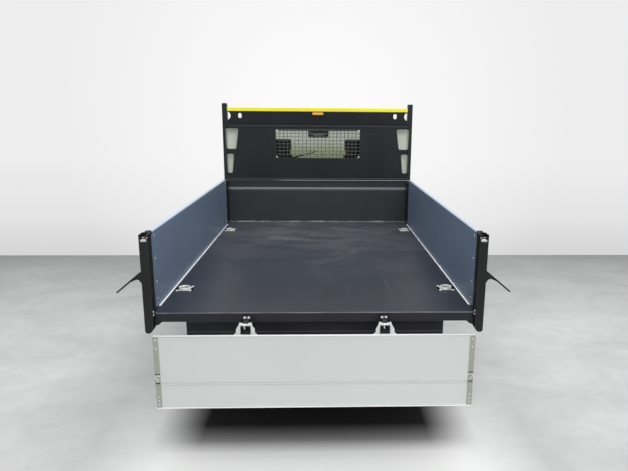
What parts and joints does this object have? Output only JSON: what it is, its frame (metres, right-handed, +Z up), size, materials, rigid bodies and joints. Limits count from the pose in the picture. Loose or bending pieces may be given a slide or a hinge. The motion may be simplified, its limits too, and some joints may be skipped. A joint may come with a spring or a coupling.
{
  "type": "compact cab-over tipper truck",
  "caption": "Compact cab-over dump truck with a black tipping bed, aluminium drop sides, hanging tailgate and a tall headboard with a mesh window.",
  "frame": {"origin": "centre of the bounding box in plan, on the ground", "axes": "+Y forward, +X to the truck's right, +Z up"},
  "size_m": [2.23, 4.442, 1.9959],
  "materials": {
    "black_paint": "satin powder coat on steel",
    "cab_paint": "gloss light stone grey",
    "clear_glass": "clear, slightly green",
    "aluminium_profile": "anodised satin",
    "tyre_rubber": "matt rubber",
    "silver_paint": "silver wheel paint",
    "black_plastic": "grained plastic",
    "bare_casting": "dull grey metal",
    "seat_fabric": "woven cloth",
    "yellow_paint": "gloss yellow",
    "zinc_steel": "zinc plated",
    "chromed_rod": "hard chrome",
    "lamp_lens": "clear lens over a bright reflector",
    "red_lens": "red lens"
  },
  "bodies": {
    "chassis": {"chassis_rails": "black_paint", "chassis_crossmembers": "black_paint", "engine": "bare_casting", "front_axle": "black_paint", "rear_axle": "black_paint", "leaf_springs": "black_paint", "drive_shaft": "black_paint", "fuel_tank": "black_plastic", "battery_box": "black_plastic", "hydraulic_unit": "black_paint", "silencer": "bare_casting", "tipper_subframe": "black_paint", "underrun_bar": "black_paint", "tail_lamps": "red_lens", "rear_mudguards": "black_plastic", "cab_floor": "cab_paint", "cab_back": "cab_paint", "cab_roof": "cab_paint", "cab_front": "cab_paint", "cab_sides": "cab_paint", "cab_glass": "clear_glass", "headlamps": "lamp_lens", "front_bumper": "black_plastic", "dashboard": "black_plastic", "seats": "seat_fabric", "inside_mirror": "black_plastic"},
    "knuckle_left": {"knuckle_left": "black_paint"},
    "front_wheel_left": {"tyre_front_left": "tyre_rubber", "rim_front_left": "silver_paint"},
    "rear_wheel_left": {"tyre_rear_left": "tyre_rubber", "rim_rear_left": "silver_paint"},
    "door_left": {"door_left": "cab_paint", "door_glass_left": "clear_glass", "door_mirror_left": "black_plastic"},
    "side_board_left": {"side_board_left": "aluminium_profile"},
    "latch_lever_left": {"latch_lever_left": "black_paint"},
    "knuckle_right": {"knuckle_right": "black_paint"},
    "front_wheel_right": {"tyre_front_right": "tyre_rubber", "rim_front_right": "silver_paint"},
    "rear_wheel_right": {"tyre_rear_right": "tyre_rubber", "rim_rear_right": "silver_paint"},
    "door_right": {"door_right": "cab_paint", "door_glass_right": "clear_glass", "door_mirror_right": "black_plastic"},
    "side_board_right": {"side_board_right": "aluminium_profile"},
    "latch_lever_right": {"latch_lever_right": "black_paint"},
    "steering_wheel": {"steering_wheel": "black_plastic"},
    "bed": {"bed_floor": "black_paint", "bed_frame": "black_paint", "bed_cross_members": "black_paint", "bed_side_rails": "black_paint", "bed_posts": "black_paint", "headboard": "black_paint", "window_mesh": "black_paint", "top_rail": "yellow_paint", "tie_down_rings": "zinc_steel"},
    "tailgate": {"tailgate": "aluminium_profile"},
    "hoist_barrel": {"hoist_barrel": "black_paint"},
    "hoist_stage": {"hoist_stage": "chromed_rod"},
    "hoist_rod": {"hoist_rod": "chromed_rod"}
  },
  "joints": [
    {"name": "steer_left", "type": "hinge", "parent": "chassis", "child": "knuckle_left", "pos_m": [-0.64, 1.26, 0.325], "axis": [0, 0, 1], "range_deg": [-35, 35]},
    {"name": "front_wheel_spin_left", "type": "hinge", "parent": "knuckle_left", "child": "front_wheel_left", "pos_m": [-0.75, 1.26, 0.325], "axis": [1, 0, 0], "continuous": true},
    {"name": "rear_wheel_spin_left", "type": "hinge", "parent": "chassis", "child": "rear_wheel_left", "pos_m": [-0.75, -0.982, 0.325], "axis": [1, 0, 0], "continuous": true},
    {"name": "door_hinge_left", "type": "hinge", "parent": "chassis", "child": "door_left", "pos_m": [-0.935, 1.962, 0.89], "axis": [0, 0, -1], "range_deg": [0, 65]},
    {"name": "steer_right", "type": "hinge", "parent": "chassis", "child": "knuckle_right", "pos_m": [0.64, 1.26, 0.325], "axis": [0, 0, 1], "range_deg": [-35, 35]},
    {"name": "front_wheel_spin_right", "type": "hinge", "parent": "knuckle_right", "child": "front_wheel_right", "pos_m": [0.75, 1.26, 0.325], "axis": [1, 0, 0], "continuous": true},
    {"name": "rear_wheel_spin_right", "type": "hinge", "parent": "chassis", "child": "rear_wheel_right", "pos_m": [0.75, -0.982, 0.325], "axis": [1, 0, 0], "continuous": true},
    {"name": "door_hinge_right", "type": "hinge", "parent": "chassis", "child": "door_right", "pos_m": [0.935, 1.962, 0.89], "axis": [0, 0, 1], "range_deg": [0, 65]},
    {"name": "steering_wheel_turn", "type": "hinge", "parent": "chassis", "child": "steering_wheel", "pos_m": [-0.385, 1.44, 1.19], "axis": [0, -0.6428, 0.766], "range_deg": [-490, 490]},
    {"name": "bed_tip", "type": "hinge", "parent": "chassis", "child": "bed", "pos_m": [0, -1.802, 0.665], "axis": [1, 0, 0], "range_deg": [0, 45]},
    {"name": "side_board_hinge_left", "type": "hinge", "parent": "bed", "child": "side_board_left", "pos_m": [-0.908, -0.832, 0.84], "axis": [0, -1, 0], "range_deg": [0, 180]},
    {"name": "latch_lever_pin_left", "type": "hinge", "parent": "bed", "child": "latch_lever_left", "pos_m": [-0.92, -2.132, 1.07], "axis": [0, -1, 0], "range_deg": [0, 45]},
    {"name": "side_board_hinge_right", "type": "hinge", "parent": "bed", "child": "side_board_right", "pos_m": [0.908, -0.832, 0.84], "axis": [0, 1, 0], "range_deg": [0, 180]},
    {"name": "latch_lever_pin_right", "type": "hinge", "parent": "bed", "child": "latch_lever_right", "pos_m": [0.92, -2.132, 1.07], "axis": [0, 1, 0], "range_deg": [0, 45]},
    {"name": "tailgate_hinge", "type": "hinge", "parent": "bed", "child": "tailgate", "pos_m": [0, -2.18, 0.81], "axis": [-1, 0, 0], "range_deg": [0, 180]},
    {"name": "hoist_foot", "type": "hinge", "parent": "chassis", "child": "hoist_barrel", "pos_m": [0, -1.362, 0.385], "axis": [1, 0, 0], "range_deg": [0, 23.3]},
    {"name": "hoist_stage_slide", "type": "slide", "parent": "hoist_barrel", "child": "hoist_stage", "axis": [0, 0.2228, 0.9749], "range_m": [0, 0.179]},
    {"name": "hoist_rod_slide", "type": "slide", "parent": "hoist_stage", "child": "hoist_rod", "axis": [0, 0.2228, 0.9749], "range_m": [0, 0.179]}
  ],
  "couplings": [
    {"joint": "steer_right", "follows": "steer_left", "ratio": 1},
    {"joint": "steering_wheel_turn", "follows": "steer_left", "ratio": 14},
    {"joint": "hoist_foot", "follows": "bed_tip", "ratio": 0.50644},
    {"joint": "hoist_stage_slide", "follows": "bed_tip", "m_per_rad": 0.22645},
    {"joint": "hoist_rod_slide", "follows": "bed_tip", "m_per_rad": 0.22645}
  ]
}
